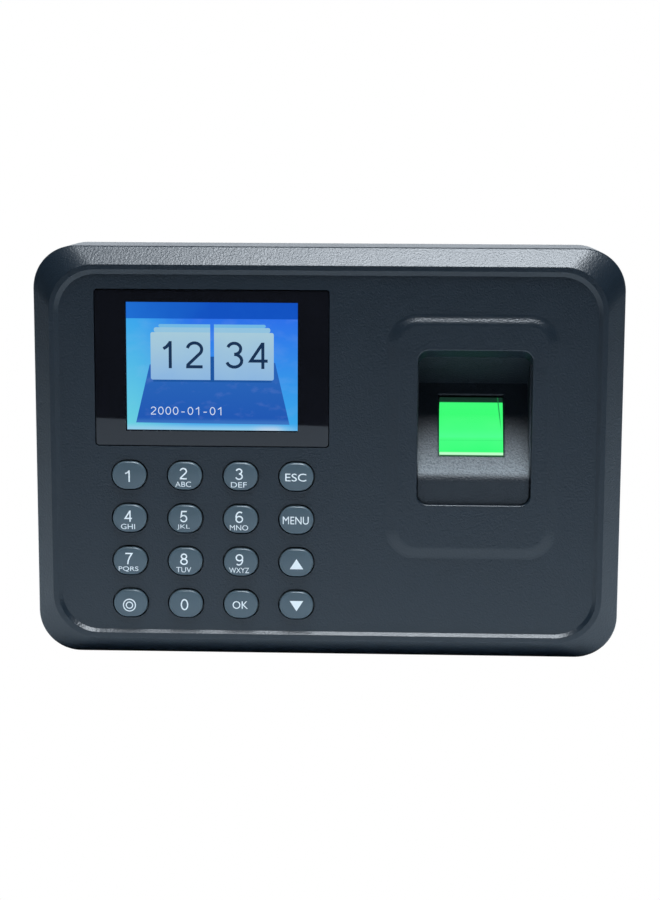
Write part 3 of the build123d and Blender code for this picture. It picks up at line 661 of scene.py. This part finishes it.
FINISHES = {
    "front_case": case_plastic(),
    "back_case": back_plastic(),
    "guide_plastic": guide_plastic(),
    "lens_acrylic": lens_acrylic(),
    "tape": moulded("tape", (0.015, 0.015, 0.017), 0.2, (0.6, 0.75)),
    "stamped_steel": metal("stamped_steel", (0.45, 0.46, 0.48)),
    "display_glass": coated_glass(),
    "light_plastic": moulded("light_plastic", (0.7, 0.73, 0.76), 0.04, (0.3, 0.4)),
    "ribbon_film": moulded("ribbon_film", (0.32, 0.11, 0.015), 0.15, (0.25, 0.35)),
    "socket_plastic": moulded("socket_plastic", (0.55, 0.52, 0.44), 0.06, (0.4, 0.5)),
    "mat_rubber": moulded("mat_rubber", (0.10, 0.12, 0.14), 0.1, (0.6, 0.7)),
    "key_rubber": key_rubber(),
    "screw_steel": metal("screw_steel", (0.42, 0.42, 0.43)),
    "sensor_glass": sensor_green(),
    "clear_glass": coated_glass(),
    "black_plastic": moulded("black_plastic", (0.01, 0.01, 0.011), 0.15, (0.4, 0.5)),
    "chip_plastic": moulded("chip_plastic", (0.014, 0.014, 0.015), 0.2, (0.5, 0.62)),
    "lamp_plastic": moulded("lamp_plastic", (0.5, 0.8, 0.5), 0.05, (0.15, 0.25)),
    "circuit_board": circuit_green(),
    "lead_jacket": moulded("lead_jacket", (0.012, 0.012, 0.013), 0.2, (0.5, 0.6)),
    "can_metal": metal("can_metal", (0.6, 0.61, 0.63), brushed=(1.0, 6.0, 1.0)),
    "cell_steel": metal("cell_steel", (0.62, 0.62, 0.62)),
    "socket_steel": metal("socket_steel", (0.52, 0.52, 0.53)),
    "pin_brass": metal("pin_brass", (0.62, 0.48, 0.22)),
    "foam": moulded("foam", (0.02, 0.02, 0.021), 0.3, (0.85, 0.95), 0.6 * MM, 0.08 * MM),
    "cone_film": moulded("cone_film", (0.05, 0.05, 0.052), 0.2, (0.6, 0.7)),
    "magnet": metal("magnet", (0.3, 0.3, 0.31)),
    "label_film": label_film(),
}


def finish_nodes():
    """Give every CAD node the material of its slot."""
    for entry in frame["record"]["subparts"]:
        piece = frame["nodes"][entry["node"]]
        piece.data.materials.clear()
        piece.data.materials.append(FINISHES[entry["material_slot"]])


# ------------------------------------------------------------------ flat printed and lit shapes
def to_mesh(curve, name):
    """The mesh of a filled curve or of lettering."""
    holder = bpy.data.objects.new(name, curve)
    bpy.context.scene.collection.objects.link(holder)
    bpy.context.view_layer.update()
    graph = bpy.context.evaluated_depsgraph_get()
    mesh = bpy.data.meshes.new_from_object(holder.evaluated_get(graph))
    bpy.data.objects.remove(holder)
    return mesh


def lettering(words, width, height):
    """Lettering centred on the origin, fitted to a width and a height."""
    curve = bpy.data.curves.new("words", "FONT")
    curve.body = words
    curve.extrude = ROUGH_THICK
    curve.resolution_u = 6
    mesh = to_mesh(curve, "words")
    low = Vector([min(v.co[axis] for v in mesh.vertices) for axis in range(2)])
    high = Vector([max(v.co[axis] for v in mesh.vertices) for axis in range(2)])
    reach = width / (high.x - low.x)
    rise = height / (high.y - low.y)
    for vertex in mesh.vertices:
        vertex.co.x = (vertex.co.x - (low.x + high.x) / 2) * reach
        vertex.co.y = (vertex.co.y - (low.y + high.y) / 2) * rise
    return mesh


def filled(loops):
    """A filled flat shape with these closed outlines, the inner ones as holes."""
    curve = bpy.data.curves.new("outline", "CURVE")
    curve.dimensions = "2D"
    curve.fill_mode = "BOTH"
    curve.extrude = ROUGH_THICK
    for loop in loops:
        spline = curve.splines.new("POLY")
        spline.points.add(len(loop) - 1)
        for point, (x, y) in zip(spline.points, loop):
            point.co = (x, y, 0.0, 1.0)
        spline.use_cyclic_u = True
    return to_mesh(curve, "outline")


def arc(centre, radius, start, end, steps=8):
    """Points along an arc, the angles in degrees."""
    angles = [radians(start + (end - start) * step / steps) for step in range(steps + 1)]
    return [(centre[0] + radius * cos(a), centre[1] + radius * sin(a)) for a in angles]


def bow(x, z, across, up, start, end, steps=12):
    """Points along an elliptical arc, the angles in degrees."""
    angles = [radians(start + (end - start) * step / steps) for step in range(steps + 1)]
    return [(x + across * cos(a), z + up * sin(a)) for a in angles]


# Centre lines of the digits in their box. Each line says first whether it is closed.
LOWER_OVAL = bow(0.29, 0.315, 0.225, 0.255, *CLOSED)
SIX_HOOK = bow(0.33, 0.50, 0.265, 0.44, 185, 55)
DIGIT_LINES = {
    "0": ((True, bow(0.29, 0.50, 0.225, 0.44, *CLOSED)),),
    "1": ((False, [(0.38, 0.0), (0.38, 1.0)]), (False, [(0.10, 0.72), (0.23, 0.79), (0.375, 0.94)])),
    "2": ((False, bow(0.29, 0.705, 0.215, 0.235, 170, -35) + [(0.09, 0.13), (0.085, 0.06), (0.53, 0.06)]),),
    "3": (
        (False, bow(0.28, 0.735, 0.195, 0.205, 165, -90)),
        (False, bow(0.28, 0.295, 0.225, 0.235, 90, -165)),
    ),
    "4": ((False, [(0.42, 0.0), (0.42, 0.97)]), (False, [(0.41, 0.93), (0.07, 0.29), (0.56, 0.29)])),
    "5": ((False, [(0.51, 0.94), (0.16, 0.94), (0.11, 0.50)] + bow(0.285, 0.33, 0.22, 0.27, 130, -160)),),
    "6": ((True, LOWER_OVAL), (False, SIX_HOOK)),
    "7": ((False, [(0.05, 0.94), (0.52, 0.94), (0.35, 0.60), (0.25, 0.30), (0.22, 0.0)]),),
    "8": (
        (True, bow(0.29, 0.74, 0.185, 0.20, *CLOSED)),
        (True, bow(0.29, 0.285, 0.225, 0.225, *CLOSED)),
    ),
    "9": (
        (True, [(0.58 - x, 1.0 - z) for x, z in LOWER_OVAL]),
        (False, [(0.58 - x, 1.0 - z) for x, z in SIX_HOOK]),
    ),
    "-": ((False, [(0.13, 0.36), (0.45, 0.36)]),),
}


def ribbon(points, width, closed):
    """The outlines of a line of this width: one round an open line, two round a closed one."""
    sides = ([], [])
    last = len(points) - 1
    for place, point in enumerate(points):
        here = Vector(point)
        before = Vector(points[place - 1]) if closed or place > 0 else None
        after = Vector(points[(place + 1) % len(points)]) if closed or place < last else None
        into = (here - before).normalized() if before else (after - here).normalized()
        out = (after - here).normalized() if after else into
        first = Vector((-into.y, into.x))
        second = Vector((-out.y, out.x))
        mitre = (first + second) / (1.0 + first.dot(second))
        for side, sign in zip(sides, (1, -1)):
            side.append(tuple(here + sign * mitre * width / 2))
    return list(sides) if closed else [sides[0] + sides[1][::-1]]


def number(words, width, height, stroke=DIGIT_STROKE):
    """A row of digits drawn with an even stroke, fitted to a width and a height and centred."""
    span = DIGIT_STEP * (len(words) - 1) + DIGIT_BOX
    work = bmesh.new()
    for place, word in enumerate(words):
        for closed, line in DIGIT_LINES[word]:
            fitted = [
                (((x + place * DIGIT_STEP) / span - 0.5) * width, (z - 0.5) * height) for x, z in line
            ]
            work.from_mesh(filled(ribbon(fitted, stroke * height, closed)))
    mesh = bpy.data.meshes.new("number")
    work.to_mesh(mesh)
    work.free()
    return mesh


def card_outline(left, bottom, right, top, radius_left, radius_right):
    """A card with rounded corners on each side, or sharp ones where the radius is 0."""
    outline = []
    for x, z, radius, start in (
        (right, top, radius_right, 0),
        (left, top, radius_left, 90),
        (left, bottom, radius_left, 180),
        (right, bottom, radius_right, 270),
    ):
        if radius:
            towards_x = -1 if x == right else 1
            towards_z = -1 if z == top else 1
            centre = (x + towards_x * radius, z + towards_z * radius)
            outline += arc(centre, radius, start, start + 90, 4)
        else:
            outline.append((x, z))
    return outline


def refine(mesh, longest):
    """Split a flat mesh until no edge is longer than this, so that it can follow a curved surface."""
    work = bmesh.new()
    work.from_mesh(mesh)
    bmesh.ops.remove_doubles(work, verts=work.verts, dist=SAME_POINT)
    for _ in range(REFINE_ROUNDS):
        bmesh.ops.triangulate(work, faces=work.faces)
        inner = [edge for edge in work.edges if len(edge.link_faces) == 2]
        long_edges = [edge for edge in inner if edge.calc_length() > longest]
        flat = [edge for edge in long_edges if abs(edge.verts[0].co.z - edge.verts[1].co.z) < FLAT_RISE]
        if not flat:
            break
        bmesh.ops.subdivide_edges(work, edges=flat, cuts=1)
    work.to_mesh(mesh)
    work.free()


def lay(mesh, name, centre, surface, body, material, lift=PRINT_LIFT, sink=PRINT_SINK, finest=None):
    """Stand a flat mesh up at a place on the front, bent to follow a surface, as a thin closed piece."""
    if finest:
        refine(mesh, finest)
    for vertex in mesh.vertices:
        x, z, side = vertex.co
        away = lift if side > 0 else -sink
        vertex.co = (centre[0] + x, -(surface(x, z) + away), centre[1] + z)
    work = bmesh.new()
    work.from_mesh(mesh)
    bmesh.ops.remove_doubles(work, verts=work.verts, dist=SAME_POINT)
    bmesh.ops.recalc_face_normals(work, faces=work.faces)
    work.to_mesh(mesh)
    work.free()
    mesh.name = name
    mesh.materials.clear()
    mesh.materials.append(material)
    piece = bpy.data.objects.new(name, mesh)
    bpy.context.scene.collection.objects.link(piece)
    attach(piece, body)


# ------------------------------------------------------------------ key legends
def crown(x, z):
    """How far a key's crown falls below its highest point."""
    return (CROWN_RADIUS**2 - x**2 - z**2) ** 0.5 - CROWN_RADIUS


def print_key(key, marks):
    """Print a key's marks on its crown. Each mark is a flat mesh and its place on the key."""
    low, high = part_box(key)
    middle = ((low.x + high.x) / 2, (low.z + high.z) / 2)
    top = -low.y
    for count, (mesh, (across, up)) in enumerate(marks, 1):
        lay(
            mesh,
            f"{key}_legend_{count}",
            (middle[0] + across, middle[1] + up),
            lambda x, z: top + crown(x + across, z + up),
            key,
            LEGEND,
            finest=PRINT_FINEST,
        )


LEGEND = legend_print()


def ring(radius):
    """The two outlines of a ring whose outer edge has this radius."""
    return [
        arc((0, 0), radius, *CLOSED),
        arc((0, 0), radius - RING_STROKE, *CLOSED),
    ]


def triangle(way):
    """A triangle that points up (1) or down (-1)."""
    half = TRIANGLE_TALL / 2
    return filled([[(-TRIANGLE_HALF, -way * half), (TRIANGLE_HALF, -way * half), (0.0, way * half)]])


def print_keys():
    """Print every key's legend."""
    for key, (letters, width) in DIGIT_KEYS.items():
        digit = number(key[-1], DIGIT_WIDE, DIGIT_TALL)
        if letters:
            small = lettering(letters, width, LETTERS_TALL)
            marks = [(digit, DIGIT_PLACE), (small, LETTERS_PLACE)]
        else:
            marks = [(digit, LONE_DIGIT_PLACE)]
        print_key(key, marks)
    for key, (words, width) in WORD_KEYS.items():
        print_key(key, [(lettering(words, width, WORD_TALL), WORD_PLACE)])
    print_key("key_up", [(triangle(1), UP_PLACE)])
    print_key("key_down", [(triangle(-1), DOWN_PLACE)])
    print_key("key_power", [(filled(ring(RING_OUTER) + ring(RING_INNER)), RING_PLACE)])


# ------------------------------------------------------------------ display picture
def make_picture():
    """The lit picture on the display panel: two cards of a flip clock over their dark reflection."""
    panel_front = -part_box("display_panel")[0].y
    wide, tall = PICTURE_SIZE

    def layer(loops_or_mesh, name, material, level, centre=PICTURE_CENTRE):
        mesh = loops_or_mesh if isinstance(loops_or_mesh, bpy.types.Mesh) else filled(loops_or_mesh)
        lay(
            mesh,
            name,
            centre,
            lambda x, z: panel_front,
            CASE_BODY,
            material,
            lift=level * LAYER,
            sink=-(level - 0.9) * LAYER,
        )

    def block(left, bottom, right, top):
        return [(left, bottom), (right, bottom), (right, top), (left, top)]

    def u(fraction):
        return (fraction - 0.5) * wide

    def v(fraction):
        return (fraction - 0.5) * tall

    layer([block(u(0), v(0), u(1), v(1))], "picture_sky", sky_glow(), 1)
    bar_bottom = v(0.868)
    bar_left = PICTURE_CENTRE[0] + u(0)
    bar = lit(
        "bar_glow",
        (0.014, 0.155, 0.64),
        (0.0065, 0.084, 0.53),
        direction=(1.0, 0.0, 0.0),
        span=(bar_left, bar_left + wide * 0.5),
    )
    layer([block(u(0), bar_bottom, u(1), v(1))], "picture_bar", bar, 2)
    stand = [(u(0.135), v(0.51)), (u(0.052), v(0.055)), (u(0.95), v(0.048)), (u(0.866), v(0.53))]
    layer([stand], "picture_stand", stand_glow(), 2)
    card_bottom = PICTURE_CENTRE[1] + v(0.39)
    card_top = PICTURE_CENTRE[1] + v(0.76)
    pale = lit("card_glow", (0.265, 0.47, 0.74), (0.385, 0.59, 0.70), span=(card_bottom, card_top))
    edge = lit("card_edge_glow", (0.27, 0.53, 0.74), (0.31, 0.56, 0.73))
    top_edge = lit("card_top_glow", (0.15, 0.46, 0.78), (0.19, 0.50, 0.76))
    shade = lit("card_gap_glow", (0.011, 0.085, 0.33), (0.014, 0.10, 0.38))
    layer([block(u(0.4895), v(0.385), u(0.5115), v(0.575))], "picture_card_gap", shade, 3)
    layer([block(u(0.155), v(0.377), u(0.846), v(0.393))], "picture_card_shadow", shade, 3)
    for side, near, far in ((-1, 0.4895, 0.1415), (1, 0.5115, 0.8585)):
        sheets = (
            ("back", top_edge, far + side * -0.046, 0.80, 0.825, 3),
            ("middle", edge, far + side * -0.02, 0.762, 0.80, 4),
            ("front", pale, far, 0.393, 0.762, 5),
        )
        for label, material, outer_edge, bottom, top, level in sheets:
            left, right = sorted((u(near), u(outer_edge)))
            which, *radii = ("left", CARD_CORNER, 0.0) if side < 0 else ("right", 0.0, CARD_CORNER)
            outline = card_outline(left, v(bottom), right, v(top), *radii)
            layer([outline], f"picture_card_{which}_{label}", material, level)
    navy = lit("digit_glow", (0.009, 0.030, 0.080), (0.012, 0.036, 0.095))
    for digit, left, right in PLACEHOLDER_TIME:
        mesh = number(digit, u(right) - u(left) + 0.3 * MM, tall * 0.211)
        middle = (PICTURE_CENTRE[0] + (u(left) + u(right)) / 2, PICTURE_CENTRE[1] + v(0.588))
        layer(mesh, f"picture_digit_{digit}", navy, 6, middle)
    white = lit("date_glow", (0.62, 0.72, 0.90), (0.72, 0.80, 0.92))
    middle = (PICTURE_CENTRE[0] + (u(0.137) + u(0.562)) / 2, PICTURE_CENTRE[1] + v(0.15))
    date = number(PLACEHOLDER_DATE, u(0.562) - u(0.137), tall * 0.064, DATE_STROKE)
    layer(date, "picture_date", white, 6, middle)


# ------------------------------------------------------------------ studio
def make_table():
    """A pale table, with a painted pool of light that makes it palest near the terminal, that ends in front
    at a slightly slanted edge.
    """
    floor = cad_box[0][2] - TABLE_DROP
    corners = (
        (-TABLE_HALF, -TABLE_FRONT - TABLE_SLANT * TABLE_HALF, floor),
        (TABLE_HALF, -TABLE_FRONT + TABLE_SLANT * TABLE_HALF, floor),
        (TABLE_HALF, TABLE_HALF, floor),
        (-TABLE_HALF, TABLE_HALF, floor),
    )
    mesh = bpy.data.meshes.new("table")
    mesh.from_pydata(corners, [], [(0, 1, 2, 3)])
    material, tree = new_tree("table")
    # Painted pool of light: the table's colour runs from TABLE_FAR to the paler TABLE_NEAR close to the
    # terminal.
    near = spread(tree, axis_of(tree, (0.0, 1.0, 0.0)), 0.0, 1.0, *TABLE_FADE, smooth=True)
    uneven = spread(tree, noise(tree, TABLE_PATCH), -TABLE_UNEVEN, TABLE_UNEVEN)
    pale = blend(tree, calculate(tree, "ADD", near, uneven), TABLE_FAR, TABLE_NEAR)
    matt = put(tree, "ShaderNodeBsdfDiffuse", {"Color": pale})
    bright = put(tree, "ShaderNodeEmission", {"Color": (1.0, 1.0, 1.0, 1.0), "Strength": 1.0})
    seen = put(tree, "ShaderNodeLightPath").outputs["Is Camera Ray"]
    above = put(tree, "ShaderNodeMixShader", {0: seen, 1: matt.outputs[0], 2: bright.outputs[0]})
    below = put(tree, "ShaderNodeBsdfTransparent")
    underside = put(tree, "ShaderNodeNewGeometry").outputs["Backfacing"]
    mixed = put(tree, "ShaderNodeMixShader", {0: underside, 1: above.outputs[0], 2: below.outputs[0]})
    put(tree, "ShaderNodeOutputMaterial", {"Surface": mixed.outputs[0]})
    mesh.materials.append(material)
    table = bpy.data.objects.new("table", mesh)
    bpy.context.scene.collection.objects.link(table)


def make_light():
    """One large soft light overhead."""
    data = bpy.data.lights.new("overhead", "AREA")
    data.shape = "RECTANGLE"
    data.size = LIGHT_RIGHT - LIGHT_LEFT
    data.size_y = LIGHT_REAR - LIGHT_FRONT
    data.energy = LIGHT_RADIANCE * pi * data.size * data.size_y
    data.color = LIGHT_COLOUR
    lamp = bpy.data.objects.new("overhead", data)
    lamp.location = ((LIGHT_LEFT + LIGHT_RIGHT) / 2, (LIGHT_FRONT + LIGHT_REAR) / 2, LIGHT_HEIGHT)
    lamp.visible_camera = False
    bpy.context.scene.collection.objects.link(lamp)


def make_room():
    """A pale band low behind the terminal, darkness elsewhere, and white to the camera."""
    world = bpy.data.worlds.new("room")
    bpy.context.scene.world = world
    world.use_nodes = True
    tree = world.node_tree
    tree.nodes.clear()
    direction = put(tree, "ShaderNodeTexCoord").outputs["Generated"]
    parts = put(tree, "ShaderNodeSeparateXYZ", {0: direction})
    behind = step_at(tree, parts.outputs["Y"], 0.7, 0.4)
    low = inside(tree, parts.outputs["Z"], -0.5, 0.3, 0.1)
    band = calculate(tree, "MULTIPLY", behind, low)
    shade = blend(tree, band, ROOM_DARK, ROOM_PALE)
    seen = put(tree, "ShaderNodeLightPath").outputs["Is Camera Ray"]
    colour = blend(tree, seen, shade, (1.0, 1.0, 1.0))
    background = put(tree, "ShaderNodeBackground", {"Color": colour, "Strength": 1.0})
    put(tree, "ShaderNodeOutputWorld", {"Surface": background.outputs[0]})


# ------------------------------------------------------------------ scene
make_camera()
bpy.context.scene.view_settings.view_transform = "Standard"
make_table()
make_light()
make_room()
finish_nodes()
print_keys()
make_picture()
